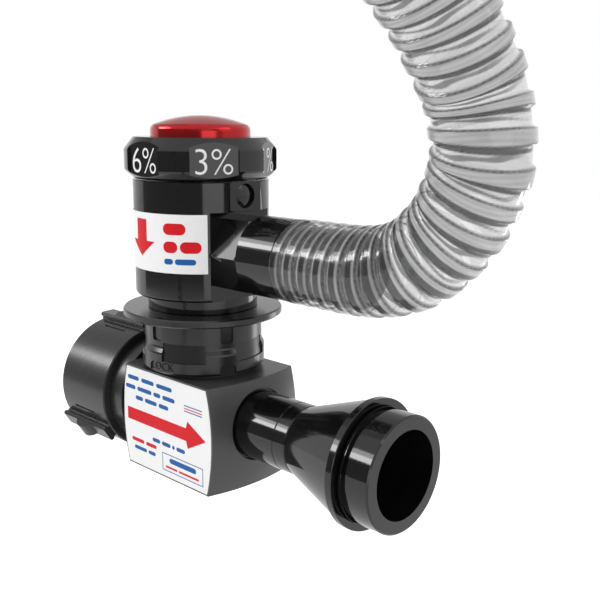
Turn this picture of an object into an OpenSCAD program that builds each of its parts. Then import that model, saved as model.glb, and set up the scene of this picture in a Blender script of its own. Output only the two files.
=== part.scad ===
// Jet eductor: swivel inlet coupling, block body with jet and diffuser, metering head and pick-up hose.
// The origin is the centre of the inlet mouth. Flow runs along +X and the metering head stands along +Z.

/* [Inlet coupling] */
// Outer radius of the swivel coupling
coupling_r = 32.6; // [31.6:0.1:36]
// Length of the swivel coupling
coupling_len = 39.6; // [38:0.2:46]
// Bore radius that takes the male hose thread
thread_r = 25.4; // [24.8:0.1:26.2]
// Depth of the bore that takes the hose thread
thread_depth = 18; // [14:0.5:19]
// Number of rocker lugs
lug_count = 3; // [2:1:4]
// Height of a rocker lug above the coupling
lug_h = 3.7; // [2.6:0.1:6]
// Width of a rocker lug at its lip
lug_w = 8.8; // [7:0.2:14]
// Turn of the first lug from the top, seen from the inlet
lug_turn = 3; // [0:1:60]
// Outer radius of the body spigot that the coupling turns on
swivel_r = 24; // [22.5:0.1:24.2]
// Radius of a swivel ball
swivel_ball_r = 2; // [1.5:0.1:2.4]
// Number of swivel balls
swivel_ball_count = 24; // [12:1:30]

/* [Block body] */
// Distance from the inlet mouth to the metering head axis
head_x = 81.1; // [80:0.5:90]
// Width of the block
block_w = 55; // [54:0.5:64]
// Height of the block
block_h = 52; // [48:0.5:58]
// Drop of the block centre below the flow axis
block_drop = 4.2; // [3:0.2:6]
// Reach of the domed outlet end from the head axis
dome_out = 41.8; // [40:0.2:46]
// Reach of the domed inlet end from the head axis
dome_in = 34.9; // [33:0.2:36]
// Radius of the domed ends
dome_r = 97; // [80:1:130]
// Radius of the round neck behind the coupling
neck_r = 28.8; // [27.5:0.1:30]
// Radius of the inlet passage
inlet_r = 19.2; // [17:0.1:20]
// Radius of the suction chamber
chamber_r = 15; // [14:0.1:16]

/* [Jet and diffuser] */
// Exit radius of the jet nozzle
jet_r = 7; // [5:0.1:8]
// Radius of the diffuser throat
throat_r = 8.6; // [7.5:0.1:10]
// Outer radius of the discharge tube
tube_r = 16.2; // [15:0.1:17]
// Reach of the discharge face from the head axis
outlet_reach = 126; // [120:0.5:140]
// Radius of the discharge spigot
spigot_r = 25.25; // [24.5:0.05:26]
// Radius of the discharge bore
outlet_r = 19.2; // [17:0.1:20.5]
// Radius of the discharge collar
collar_r = 28.7; // [28:0.1:32]

/* [Lock collar] */
// Radius of the lock collar flange
flange_r = 38.8; // [36:0.2:42]
// Height of the top of the lock collar flange
flange_z = 52.3; // [51:0.1:56]
// Thickness of the lock collar flange
flange_t = 3.7; // [3:0.1:4]
// Radius of the boss that the lock collar turns on
boss_r = 26; // [25.2:0.1:26.4]

/* [Metering head] */
// Radius of the metering head
head_r = 32.4; // [31.6:0.1:36]
// Height of the top of the metering head
head_top = 113.9; // [113:0.1:120]
// Radius of the head neck above the lock collar
head_neck_r = 26.7; // [25:0.1:29]
// Radius of the stem that plugs into the body
stem_r = 21.5; // [20.8:0.1:22]
// Radius of the metering bore
bore_r = 20.1; // [19:0.1:20.6]
// Height of the suction port
port_z = 81.2; // [80:0.2:84]
// Corner radius of the hexagon boss of the suction port
hex_r = 18.7; // [17:0.1:20]
// Radius of the nipple shoulder
shoulder_r = 18.3; // [17:0.1:19]
// Radius of the check ball
check_ball_r = 7; // [6:0.1:7.4]

/* [Metering knob and flush button] */
// Radius of the knob over its lobes
knob_r = 36.1; // [34:0.1:40]
// Height of the knob
knob_h = 19; // [17:0.5:24]
// Number of settings around the knob
setting_count = 6; // [4:1:8]
// Width of the flat behind each number
flat_w = 22.3; // [16:0.1:24]
// Depth of each flat below the lobes
flat_depth = 2.9; // [2:0.1:4]
// Radius of the flush button
button_r = 23.7; // [20:0.1:25]
// Travel of the flush button
button_travel = 5; // [3:0.1:5.5]

/* [Pick-up hose] */
// Radius over the hose ribs
hose_r = 18.6; // [17:0.1:19]
// Bore radius of the hose
hose_bore_r = 15.6; // [14.5:0.1:16.5]
// Length of the rigid pick-up wand
wand_len = 200; // [150:5:300]
// Outer radius of the pick-up wand
wand_r = 13; // [11:0.2:14]

/* [Fits] */
// Running clearance of turning and sliding fits
run_gap = 0.1; // [0.05:0.01:0.1]
// Free gap between pieces that only pass each other
free_gap = 0.3; // [0.3:0.05:0.5]
// Clearance of pieces that are fixed in each other
fix_gap = 0.05; // [0.02:0.01:0.08]

/* [Hidden] */
$fn = 96;

black = [0.13, 0.13, 0.14];
steel = [0.72, 0.73, 0.75];
rubber = [0.06, 0.06, 0.06];
white = [0.95, 0.95, 0.95];
brass = [0.72, 0.58, 0.33];

// Overcut of a boolean cut past the face that it opens
over = 1;
// Thickness of the label film
film = 0.25;

// Inlet side, measured from the inlet mouth
gasket_t = 3;
lip_t = 2;
spigot_end = thread_depth + gasket_t + lip_t + free_gap;
gasket_r = thread_r - 1;
race_x = coupling_len - 8.6;
race_r = swivel_r + run_gap / 2;
race_groove = swivel_ball_r + 0.15;
plug_turn = 150;
plug_r = swivel_ball_r + 0.6;
neck_x = coupling_len + free_gap;

// Block and boss
block_top = block_h / 2 - block_drop;
neck_reach = boss_r + 5.2;
neck_end = head_x - neck_reach;
neck_pilot_len = 4;
neck_pilot_r = min(inlet_r + 1, block_top - 1);
boss_top = flange_z - flange_t - 0.6;
socket_r = stem_r + run_gap;
stem_bottom = 13;
socket_bottom = stem_bottom - free_gap;

// Jet nozzle seat and chamber, measured from the head axis
nozzle_flange_t = neck_pilot_len + 1;
nozzle_in = -neck_reach + neck_pilot_len - nozzle_flange_t;
nozzle_body_r = 13;
nozzle_tip = -5;
nozzle_tip_r = jet_r + 2;
nozzle_flange_r = inlet_r - 2.2;
chamber_in = nozzle_in + nozzle_flange_t + 2.7;
diffuser_in = stem_r + 1;
chamber_out = diffuser_in - free_gap;

// Diffuser stations, measured from the head axis
seat_depth = 3.8;
recess_x = dome_out - seat_depth;
recess_r = tube_r + 1.2;
throat_in = diffuser_in + 11;
throat_out = throat_in + 10;
line_a = 64.1;
line_b = 71.6;
line_d = 0.4;
cone_in = line_b + 0.8;
collar_in = outlet_reach - 19.2;
collar_out = collar_in + 3.4;
ridge_in = collar_out + 1.1;
ridge_out = ridge_in + 1.3;
spigot_in = outlet_reach - 10.4;
bore_in = spigot_in - 4;
ring_x = diffuser_in + 4;

// O-ring sections: radius of the cord and its gap to the groove floor
cord_r = 1.05;
groove_d = 2 * cord_r;
groove_w = 2 * cord_r + 0.3;

// Keepers that hold the stem
keeper_z = 40;
keeper_h = 3.6;
keeper_groove_r = stem_r - 2;
keeper_turn = 150;

// Lock collar skirt
skirt_bottom = block_top + 1.6;
skirt_in = boss_r + run_gap;
bulge_r = boss_r + 4.1;
waist_r = boss_r + 2.8;
bulge_z = skirt_bottom + 6.5;
recess_count = 5;

// Metering head heights
neck_z = flange_z + free_gap;
shoulder_z = neck_z + 6.6;
seat_z = 35;
seat_r = check_ball_r - 1.5;
ball_bore_r = check_ball_r + 1;
cavity_z = 44;
cavity_r = 16.5;
floor_z = 68;
floor_t = 4;
pin_r = 1.5;
pin_z = stem_bottom + 3;
check_z = pin_z + pin_r + check_ball_r + fix_gap;
passage_r = 4.5;
passage_at = 11;
flush_hole_r = 4.5;
hex_in = bore_r + 2;
hex_end = 43.9;
flat_x = head_r - 1.4;
face_x = head_neck_r + 0.25;
ring_z = [20.5, 31];

// Detent that holds the knob setting
detent_z = 107.4;
detent_ball_r = 3;
detent_at = bore_r + 0.5;
detent_groove = detent_ball_r + run_gap;
detent_plug_r = 5.6;
detent_plug_x = flat_x - 2.6;
detent_bore_r = detent_ball_r + 0.2;
flat_low = min(port_z + hex_r * cos(30) + 3, detent_z - detent_plug_r - 1);

// Head label band
label_low = 72.8;
label_high = 99.6;
label_from = -150;
label_to = -35.8;

// Hose nipple stations, measured from the head axis
shoulder_end = 65;
tail_end = 104;
tail_r = hose_bore_r + fix_gap;
barb_count = 4;
barb_h = 0.5;
nipple_bore = 10.5;
stub_r = 14;

// Metering knob heights
knob_bottom = head_top + 0.5;
knob_top = knob_bottom + knob_h;
knob_rim_r = knob_r - 4.4;
chamfer_low = 3.9;
chamfer_high = 5.4;
first_flat = -30;
well_r = button_r + free_gap;
well_z = knob_bottom + 10.2;
hub_r = bore_r - run_gap;
hub_low = 97;
hub_top = knob_bottom - free_gap;
hub_ring_z = 101.5;
pilot_r = 9;
shaft_r = 6;
disc_low = floor_z + free_gap;
disc_t = 4;
disc_r = bore_r - 0.6;
screw_at = 14;
screw_r = 1.9;
screw_head_r = 3.2;
screw_head_t = 2;

// Flush button and stem
skirt_gap = 0.7;
button_low = well_z + button_travel + skirt_gap;
button_side = knob_top + 6.2;
button_dome = 4;
button_wall = 2.6;
button_roof = button_side - 3.6;
stem_pin_r = 2.2;
stem_bore_r = stem_pin_r + run_gap;
annulus_r = flush_hole_r - 0.3;
annulus_top = disc_low + disc_t + 6;
poppet_r = flush_hole_r + 2;
poppet_t = 3;
poppet_top = floor_z - floor_t - free_gap;

// Route of the hose centre line from the nipple shoulder, measured from the head axis
hose_route = [[shoulder_end, 0, port_z], [79, 0, port_z], [94, 0, port_z], [107, 0, 82], [120, 0, 85],
              [130, 0, 90], [138, 0, 97], [145, 0, 105], [151, -1, 116], [155, -2, 127], [156, -4, 136],
              [155, -6, 147], [154, -9, 155], [153, -13, 161], [150, -23, 176], [146, -35, 190],
              [142, -50, 204], [137, -67, 216], [131, -85, 226], [125, -104, 232], [119, -123, 236],
              [113, -143, 237], [107, -163, 236], [101, -183, 232], [95, -202, 226], [90, -220, 216],
              [85, -237, 204], [81, -252, 190], [77, -265, 174], [73, -276, 157], [71, -285, 139],
              [69, -291, 119], [67, -295, 98], [67, -296, 77], [67, -296, 20], [67, -296, -65],
              [67, -296, -150], [67, -296, -261]];
hose_sides = 12;
hose_end = hose_route[len(hose_route) - 1];

// Unit vector of v
function unit(v) = v / norm(v);
// Direction of a route at its point i
function along(route, i) =
    let (n = len(route) - 1)
    i == 0 ? unit(route[1] - route[0]) : i == n ? unit(route[n] - route[n - 1])
    : unit(unit(route[i + 1] - route[i]) + unit(route[i] - route[i - 1]));
// Side vectors carried along a route without twist, starting across its first direction
function carried(route, first, i = 0, kept = []) =
    i == len(route) ? kept
    : let (t = along(route, i), from = i == 0 ? first : kept[i - 1], side = unit(from - (from * t) * t))
      carried(route, first, i + 1, concat(kept, [side]));

// Points of the rings of radius r around a route
function rings(route, side, r, sides) =
    [for (i = [0 : len(route) - 1]) let (u = side[i], w = cross(along(route, i), u))
     for (k = [0 : sides - 1]) route[i] + r * (cos(360 * k / sides) * u + sin(360 * k / sides) * w)];
// Four-sided faces between the rings that start at point from, each with its corners in the order given
function walls(count, sides, from, order) =
    [for (i = [0 : count - 2]) for (k = [0 : sides - 1])
     let (a = from + i * sides, n = (k + 1) % sides, corners = [a + k, a + sides + k, a + sides + n, a + n])
     [for (c = order) corners[c]]];

// Round rod of radius r swept along a route
module rod_along(route, r, sides, first) {
    count = len(route);
    near = [for (k = [0 : sides - 1]) k];
    far = [for (k = [sides - 1 : -1 : 0]) (count - 1) * sides + k];
    polyhedron(rings(route, carried(route, first), r, sides),
               concat([near], walls(count, sides, 0, [0, 1, 2, 3]), [far]), 4);
}

// Round tube swept along a route, with flat ring ends
module tube_along(route, r_out, r_in, sides, first) {
    count = len(route);
    inner = count * sides;
    last = (count - 1) * sides;
    side = carried(route, first);
    near = [for (k = [0 : sides - 1]) let (n = (k + 1) % sides) [k, n, inner + n, inner + k]];
    far = [for (f = near) [f[1] + last, f[0] + last, f[3] + last, f[2] + last]];
    outside = walls(count, sides, 0, [0, 1, 2, 3]);
    inside = walls(count, sides, inner, [0, 3, 2, 1]);
    polyhedron(concat(rings(route, side, r_out, sides), rings(route, side, r_in, sides)),
               concat(near, outside, inside, far), 4);
}

// Points of a helix about Z from z0 to z1, with radius r0 at the foot and r1 at the top
function helix(r0, r1, z0, z1, turns, steps) =
    [for (i = [0 : steps]) let (s = i / steps, r = r0 + (r1 - r0) * s)
     [r * cos(360 * turns * s), r * sin(360 * turns * s), z0 + (z1 - z0) * s]];

// Children built about Z, laid along +X
module about_x() rotate([0, 90, 0]) children();
// Children measured from the head axis
module at_head() translate([head_x, 0, 0]) children();
// Solid of revolution about X through points of station and radius
module turned_x(points) about_x() rotate_extrude() polygon([for (p = points) [p[1], p[0]]]);
// Round hole or rod along X
module rod_x(x0, x1, r) translate([x0, 0, 0]) about_x() cylinder(h = x1 - x0, r = r);
// Round hole or rod along Z
module rod_z(z0, z1, r) translate([0, 0, z0]) cylinder(h = z1 - z0, r = r);
// Ring of round section about Z
module o_ring(r, cord) rotate_extrude() translate([r, 0]) circle(r = cord, $fn = 32);
// Ring about Z of rectangular section
module band(z0, z1, r_in, r_out) difference() {
    rod_z(z0, z1, r_out);
    rod_z(z0 - over, z1 + over, r_in);
}
// Sector of a ring about Z
module sector(z0, z1, r_in, r_out, from, to) rotate([0, 0, from]) translate([0, 0, z0])
    rotate_extrude(angle = to - from) translate([r_in, 0]) square([r_out - r_in, z1 - z0]);

// Rounded rectangle that stands on the X axis
module rounded(w, h, r) polygon([for (c = [[1, 1, 0], [-1, 1, 90], [-1, -1, 180], [1, -1, 270]])
    for (a = [0 : 15 : 90])
        [c[0] * (w / 2 - r) + r * cos(c[2] + a), h / 2 + c[1] * (h / 2 - r) + r * sin(c[2] + a)]]);

// Block with two domed ends and a flat seat for the neck
module block() translate([0, 0, -block_drop]) intersection() {
    translate([-neck_reach, -block_w / 2, -block_h / 2]) cube([neck_reach + dome_out, block_w, block_h]);
    translate([dome_out - dome_r, 0, 0]) sphere(r = dome_r);
    translate([dome_r - dome_in, 0, 0]) sphere(r = dome_r);
}

// Machined block with the suction chamber and the boss for the metering head
module eductor_body() color(black) difference() {
    union() {
        at_head() block();
        at_head() rod_z(block_top - over, boss_top, boss_r);
    }
    rod_x(neck_end - over, neck_end + neck_pilot_len, neck_pilot_r + fix_gap);
    rod_x(neck_end, head_x + chamber_in + over, nozzle_body_r + free_gap);
    rod_x(head_x + chamber_in, head_x + chamber_out, chamber_r);
    rod_x(head_x + chamber_out - over, head_x + dome_out + over, tube_r + fix_gap);
    rod_x(head_x + recess_x, head_x + dome_out + over, recess_r);
    at_head() rod_z(socket_bottom, boss_top + over, socket_r);
    at_head() for (side = [0, 180])
        sector(keeper_z - keeper_h / 2 - free_gap, keeper_z + keeper_h / 2 + free_gap, socket_r - over,
               boss_r + over, side - keeper_turn / 2 - 1, side + keeper_turn / 2 + 1);
}

// Turned neck: spigot that the coupling swivels on, round shoulder and a pilot that holds it in the block
module inlet_neck() color(black) difference() {
    union() {
        rod_x(spigot_end, neck_x + over, swivel_r);
        rod_x(neck_x, neck_end, neck_r);
        rod_x(neck_end - over, neck_end + neck_pilot_len, neck_pilot_r);
    }
    rod_x(spigot_end - over, head_x + nozzle_in, inlet_r);
    rod_x(head_x + nozzle_in - over, neck_end + neck_pilot_len + over, nozzle_flange_r + fix_gap);
    translate([race_x, 0, 0]) about_x() o_ring(race_r, race_groove);
}

// Jet nozzle with its converging bore
module jet_nozzle() color(brass) at_head() difference() {
    turned_x([[nozzle_in, nozzle_flange_r - 3], [nozzle_in, nozzle_flange_r],
              [nozzle_in + nozzle_flange_t, nozzle_flange_r], [nozzle_in + nozzle_flange_t, nozzle_body_r],
              [chamber_in, nozzle_body_r], [nozzle_tip, nozzle_tip_r], [nozzle_tip, jet_r],
              [nozzle_tip - 4, jet_r], [nozzle_in + nozzle_flange_t, nozzle_body_r - 2.4]]);
    translate([nozzle_in + nozzle_flange_t / 2, 0, 0]) about_x()
        band(-groove_w / 2, groove_w / 2, nozzle_flange_r - groove_d, nozzle_flange_r + over);
}

module nozzle_o_ring() color(rubber) at_head() translate([nozzle_in + nozzle_flange_t / 2, 0, 0])
    about_x() o_ring(nozzle_flange_r - cord_r + fix_gap / 2, cord_r);

// Discharge tube: bell mouth, throat and diverging bore inside, cone, collar and spigot outside
module diffuser() color(black) at_head() difference() {
    turned_x([[diffuser_in, throat_r + 5], [diffuser_in, tube_r - 1], [diffuser_in + 1, tube_r],
              [line_a, tube_r], [line_a + line_d, tube_r - line_d], [line_a + 2 * line_d, tube_r],
              [line_b, tube_r], [line_b + line_d, tube_r - line_d], [cone_in, tube_r],
              [collar_in, collar_r - 0.8], [collar_in, collar_r - 0.3], [collar_in + 0.3, collar_r],
              [collar_out - 0.3, collar_r], [collar_out, collar_r - 0.3], [collar_out, spigot_r - 1.2],
              [ridge_in, spigot_r - 1.2], [ridge_in, spigot_r + 0.3], [ridge_out, spigot_r + 0.3],
              [ridge_out, spigot_r - 1.2], [spigot_in, spigot_r - 1.2], [spigot_in, spigot_r],
              [outlet_reach - 0.7, spigot_r], [outlet_reach, spigot_r - 0.7],
              [outlet_reach, outlet_r], [bore_in, outlet_r], [throat_out, throat_r],
              [throat_in, throat_r]]);
    translate([ring_x, 0, 0]) about_x() band(-groove_w / 2, groove_w / 2, tube_r - groove_d, tube_r + over);
}

module diffuser_o_ring() color(rubber) at_head() translate([ring_x, 0, 0])
    about_x() o_ring(tube_r - cord_r + fix_gap / 2, cord_r);

// Film label on the front face, with ends that follow the domes
module body_label() color(white) at_head() translate([0, -block_w / 2, -block_drop]) rotate([90, 0, 0])
    linear_extrude(height = film) intersection() {
        inset = 0.9;
        end_r = sqrt(dome_r * dome_r - block_w * block_w / 4);
        translate([-dome_in, -block_h / 2 + inset]) square([dome_in + dome_out, block_h - 2 * inset]);
        translate([dome_out - dome_r, 0]) circle(r = end_r - inset);
        translate([dome_r - dome_in, 0]) circle(r = end_r - inset);
    }

// Ring of balls that lets the coupling turn
module swivel_balls() color(steel) translate([race_x, 0, 0])
    for (k = [0 : swivel_ball_count - 1]) rotate([360 * k / swivel_ball_count, 0, 0])
        translate([0, 0, race_r]) sphere(r = swivel_ball_r, $fn = 24);

// Two half rings that reach through the boss into the groove of the stem
module lock_keepers() color(steel) at_head() for (side = [0, 180])
    sector(keeper_z - keeper_h / 2, keeper_z + keeper_h / 2, keeper_groove_r + free_gap, boss_r - run_gap,
           side - keeper_turn / 2, side + keeper_turn / 2);

// Rocker lug with an undercut root and a round index bump in the middle of its back
module rocker_lug() {
    foot = coupling_r - 2;
    tip = coupling_r + lug_h;
    bump_r = 7.7;
    bump_h = 3.2;
    translate([0.6, 0, 0]) about_x() linear_extrude(height = coupling_len - 1.2) polygon([
        [-foot, -lug_w * 0.42], [-coupling_r - lug_h * 0.25, -lug_w * 0.4],
        [-coupling_r - lug_h * 0.5, -lug_w / 2], [-tip + lug_h * 0.2, -lug_w / 2], [-tip, -lug_w * 0.42],
        [-tip, lug_w * 0.42], [-tip + lug_h * 0.2, lug_w / 2], [-coupling_r - lug_h * 0.5, lug_w / 2],
        [-coupling_r - lug_h * 0.25, lug_w * 0.4], [-foot, lug_w * 0.42]]);
    intersection() {
        translate([coupling_len / 2, 0, tip + bump_h - bump_r]) rotate([90, 0, 0])
            cylinder(h = lug_w * 0.84, r = bump_r, center = true);
        translate([0, -lug_w, tip - 1]) cube([coupling_len, 2 * lug_w, bump_h + 2]);
    }
}

// Swivel coupling with rocker lugs, thread bore, gasket seat and ball race
module swivel_coupling() {
    slot_len = 18;
    slot_w = 1.2;
    slot_at = 16;
    color(black) difference() {
        union() {
            turned_x([[0, 0], [0, coupling_r - 1.2], [1.2, coupling_r], [coupling_len - 0.6, coupling_r],
                      [coupling_len, coupling_r - 0.6], [coupling_len, 0]]);
            for (k = [0 : lug_count - 1]) rotate([lug_turn + 360 * k / lug_count, 0, 0]) rocker_lug();
        }
        rod_x(-over, thread_depth, thread_r);
        rod_x(thread_depth - over, thread_depth + gasket_t, gasket_r + fix_gap);
        rod_x(thread_depth, coupling_len, inlet_r);
        rod_x(thread_depth + gasket_t + lip_t, coupling_len + over, swivel_r + run_gap);
        translate([race_x, 0, 0]) about_x() o_ring(race_r, race_groove);
        rotate([plug_turn, 0, 0]) translate([race_x, 0, 0]) rod_z(swivel_r, coupling_r + over, plug_r);
        for (k = [0 : lug_count - 1]) for (side = [-slot_at, slot_at])
            rotate([lug_turn + side + 360 * k / lug_count, 0, 0])
                translate([(coupling_len - slot_len) / 2, -slot_w / 2, coupling_r - 0.7])
                    cube([slot_len, slot_w, over + 0.7]);
    }
}

module inlet_gasket() color(rubber) translate([thread_depth, 0, 0]) about_x()
    band(0, gasket_t, inlet_r, gasket_r);

// Screw plug that closes the filling hole of the ball race
module ball_plug() color(black) rotate([plug_turn, 0, 0]) translate([race_x, 0, 0])
    rod_z(race_r + race_groove + free_gap, coupling_r - free_gap, plug_r - fix_gap);

// Lock collar: flange and moulded skirt with finger recesses and notches
module lock_collar() {
    recess_low = bulge_z - 0.4;
    recess_high = recess_low + 8.8;
    recess_turn = 43;
    recess_at = -60;
    notch_w = 6.4;
    notch_corner = 1.4;
    flange_low = flange_z - flange_t;
    flare = [for (k = [0 : 4])
             [waist_r + (bulge_r - waist_r) * (1 + cos(45 * k)) / 2, bulge_z + 2.8 + 0.9 * k]];
    color(black) difference() {
        rotate_extrude_at_head(concat([[skirt_in, skirt_bottom], [bulge_r - 1.2, skirt_bottom],
            [bulge_r, skirt_bottom + 1.2]], flare, [[waist_r, flange_low], [flange_r - 0.7, flange_low],
            [flange_r, flange_low + 0.7], [flange_r, flange_z - 0.7], [flange_r - 0.7, flange_z],
            [stem_r + 0.7, flange_z], [stem_r + 0.7, boss_top + free_gap], [skirt_in, boss_top + free_gap]]));
        at_head() for (k = [0 : recess_count - 1]) rotate([0, 0, recess_at + 360 * k / recess_count]) {
            rotate([0, 0, -recess_turn / 2]) rotate_extrude(angle = recess_turn)
                polygon([[bulge_r - 0.8, recess_low], [bulge_r + over, recess_low],
                         [bulge_r + over, recess_high], [waist_r - 0.5, recess_high]]);
            rotate([0, 0, 42]) translate([waist_r - 1.1, 0, bulge_z + 8.8]) rotate([90, 0, 90])
                linear_extrude(height = 6) rounded(notch_w, flange_low - bulge_z - 8.8, notch_corner);
            rotate([0, 0, 42]) translate([bulge_r - 1.1, 0, skirt_bottom - 2]) rotate([90, 0, 90])
                linear_extrude(height = 6) rounded(notch_w * 1.3, 7, notch_corner * 1.5);
        }
    }
}

// Solid of revolution about the head axis through points of radius and height
module rotate_extrude_at_head(points) at_head() rotate_extrude() polygon(points);

// Turned outside of the metering head
module head_barrel() {
    edge = 1.8;
    rounding = [for (k = [0 : 4]) let (a = 90 * k / 4)
                [head_r - edge * (1 - sin(a)), shoulder_z + edge * (1 - cos(a))]];
    rotate_extrude_at_head(concat([[0, stem_bottom], [stem_r - 1, stem_bottom], [stem_r, stem_bottom + 1],
        [stem_r, neck_z], [head_neck_r, neck_z], [head_neck_r, shoulder_z]], rounding,
        [[head_r, head_top - 0.3], [head_r - 0.3, head_top], [0, head_top]]));
}

// Chamfered hexagon boss of the suction port, a corner to the front
module hex_boss() intersection() {
    translate([hex_in, 0, 0]) about_x() rotate([0, 0, 90])
        cylinder(h = hex_end - hex_in, r = hex_r, $fn = 6);
    turned_x([[hex_in, 0], [hex_in, hex_r + 1], [hex_end - 1.6, hex_r + 1], [hex_end, hex_r - 1.8],
              [hex_end, 0]]);
}

// Metering head: stem, neck and barrel with the metering bore, hexagon boss on its port face, and plug flat
module metering_head() color(black) difference() {
    union() {
        difference() {
            head_barrel();
            at_head() translate([face_x, -head_r, shoulder_z - over])
                cube([head_r, 2 * head_r, flat_low - shoulder_z + over]);
        }
        at_head() translate([0, 0, port_z]) hex_boss();
    }
    at_head() {
        rod_z(stem_bottom - over, seat_z, ball_bore_r);
        rod_z(seat_z - over, cavity_z + over, seat_r);
        rod_z(cavity_z, floor_z - floor_t, cavity_r);
        rod_z(floor_z, head_top + over, bore_r);
        rod_z(floor_z - floor_t - over, floor_z + over, flush_hole_r);
        translate([0, passage_at, 0]) rod_z(floor_z - floor_t - over, floor_z + over, passage_r);
        band(keeper_z - keeper_h / 2 - free_gap, keeper_z + keeper_h / 2 + free_gap, keeper_groove_r,
             stem_r + over);
        for (z = ring_z) band(z - groove_w / 2, z + groove_w / 2, stem_r - groove_d, stem_r + over);
        translate([0, 0, pin_z]) rotate([90, 0, 0])
            cylinder(h = 2 * stem_r + over, r = pin_r + fix_gap / 2, center = true);
        translate([flat_x, -head_r, flat_low]) cube([head_r, 2 * head_r, head_top]);
        translate([0, 0, port_z]) rod_x(0, hex_end + over, stub_r + fix_gap);
        translate([0, 0, detent_z]) rod_x(0, head_r, detent_bore_r);
        translate([0, 0, detent_z]) rod_x(detent_plug_x, head_r, detent_plug_r + fix_gap);
    }
}

module stem_o_rings() color(rubber) at_head() for (z = ring_z)
    translate([0, 0, z]) o_ring(stem_r - cord_r + fix_gap / 2, cord_r);

// Cross pin that keeps the check ball in the stem
module ball_stop_pin() color(steel) at_head() translate([0, 0, pin_z]) rotate([90, 0, 0])
    cylinder(h = 2 * (stem_r - over), r = pin_r, center = true);

module check_ball() color(steel) at_head() translate([0, 0, check_z]) sphere(r = check_ball_r);

// Film label wrapped round the head
module head_label() color(white) at_head()
    sector(label_low, label_high, head_r + fix_gap, head_r + fix_gap + film, label_from, label_to);

// Hose nipple: stub in the boss, round shoulder and barbed tail
module hose_nipple() {
    barb_pitch = (tail_end - shoulder_end - 6) / barb_count;
    color(black) at_head() translate([0, 0, port_z]) difference() {
        union() {
            rod_x(hex_in, hex_end + over, stub_r);
            rod_x(hex_end, shoulder_end, shoulder_r);
            turned_x(concat([[shoulder_end - over, 0], [shoulder_end - over, tail_r],
                             [shoulder_end + 3, tail_r]],
                            [for (k = [0 : barb_count - 1]) for (p = [[0, barb_h], [1, 0]])
                             [shoulder_end + 3 + (k + p[0]) * barb_pitch, tail_r + p[1]]],
                            [[tail_end - 1.5, tail_r], [tail_end, tail_r - 1.5], [tail_end, 0]]));
        }
        rod_x(0, tail_end + over, nipple_bore);
    }
}

// Domed plug sunk in the side flat, behind it the detent spring and ball
module detent_plug() color(black) at_head() translate([0, 0, detent_z]) turned_x(concat(
    [[detent_plug_x, 0], [detent_plug_x, detent_plug_r]],
    [for (k = [0 : 5]) let (r = 1 - k / 5) [flat_x - 0.6 - 0.9 * r * r, detent_plug_r * r]]));

module detent_spring() {
    wire = 0.45;
    coil_r = detent_bore_r - wire - 0.15;
    start = detent_at + detent_ball_r + wire;
    color(steel) at_head() translate([0, 0, detent_z]) about_x()
        rod_along(helix(coil_r, coil_r, start, detent_plug_x - wire - 0.1, 4, 56), wire, 6, [1, 0, 0]);
}

module detent_ball() color(steel) at_head() translate([detent_at, 0, detent_z]) sphere(r = detent_ball_r);

// Flexible hose, a plain tube of its outer and inner size
module pickup_hose() color([0.75, 0.76, 0.77, 0.6]) at_head()
    tube_along(hose_route, hose_r, hose_bore_r, hose_sides, [0, 1, 0]);

// Rigid wand: barbed tail in the hose, grip collar and a tube with a notched foot
module pickup_wand() {
    tail = 32;
    collar_h = 14;
    wall = 2.2;
    notch = 8;
    color(black) at_head() translate([hose_end[0], hose_end[1], hose_end[2]]) difference() {
        rotate_extrude() polygon([[wand_r - wall, -wand_len], [wand_r, -wand_len], [wand_r, -collar_h - 3],
            [hose_r - 1, -collar_h], [hose_r, -collar_h + 1], [hose_r, 0], [tail_r, 0], [tail_r, tail - 2],
            [tail_r - 2, tail], [wand_r - wall, tail]]);
        for (turn = [0, 90]) rotate([0, 0, turn])
            translate([-wand_r - over, -notch / 2, -wand_len - over])
                cube([2 * (wand_r + over), notch, notch + over]);
    }
}

// Knob with chamfered lobes, a recessed flat for each setting and the button well
module metering_knob() color(black) difference() {
    rotate_extrude_at_head([[0, knob_bottom], [knob_rim_r, knob_bottom],
        [knob_r - 0.5, knob_bottom + chamfer_low - 0.5], [knob_r, knob_bottom + chamfer_low + 0.4],
        [knob_r, knob_top - chamfer_high - 0.4], [knob_r - 0.5, knob_top - chamfer_high + 0.5],
        [knob_rim_r, knob_top], [0, knob_top]]);
    at_head() {
        for (k = [0 : setting_count - 1]) rotate([0, 0, first_flat + 360 * k / setting_count])
            translate([knob_r - flat_depth, -flat_w / 2, knob_bottom - over])
                cube([knob_r, flat_w, knob_h + 2 * over]);
        rod_z(well_z, knob_top + over, well_r);
        rod_z(knob_bottom - over, well_z + over, pilot_r + fix_gap);
        for (k = [0 : 2]) rotate([0, 0, 120 * k]) translate([screw_at, 0, 0]) {
            rod_z(knob_bottom - over, well_z, screw_r + fix_gap);
            rod_z(well_z - screw_head_t - 0.2, well_z + over, screw_head_r + fix_gap);
        }
    }
}

// Screws that hold the knob on the spindle
module knob_screws() color(steel) at_head() for (k = [0 : 2]) rotate([0, 0, 120 * k])
    translate([screw_at, 0, 0]) difference() {
        union() {
            rod_z(hub_top - 8, well_z - screw_head_t, screw_r);
            rod_z(well_z - screw_head_t - 0.2, well_z - 0.2, screw_head_r);
        }
        translate([0, 0, well_z - 1.2]) cylinder(h = 2, r = 1.6, $fn = 6);
    }

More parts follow.
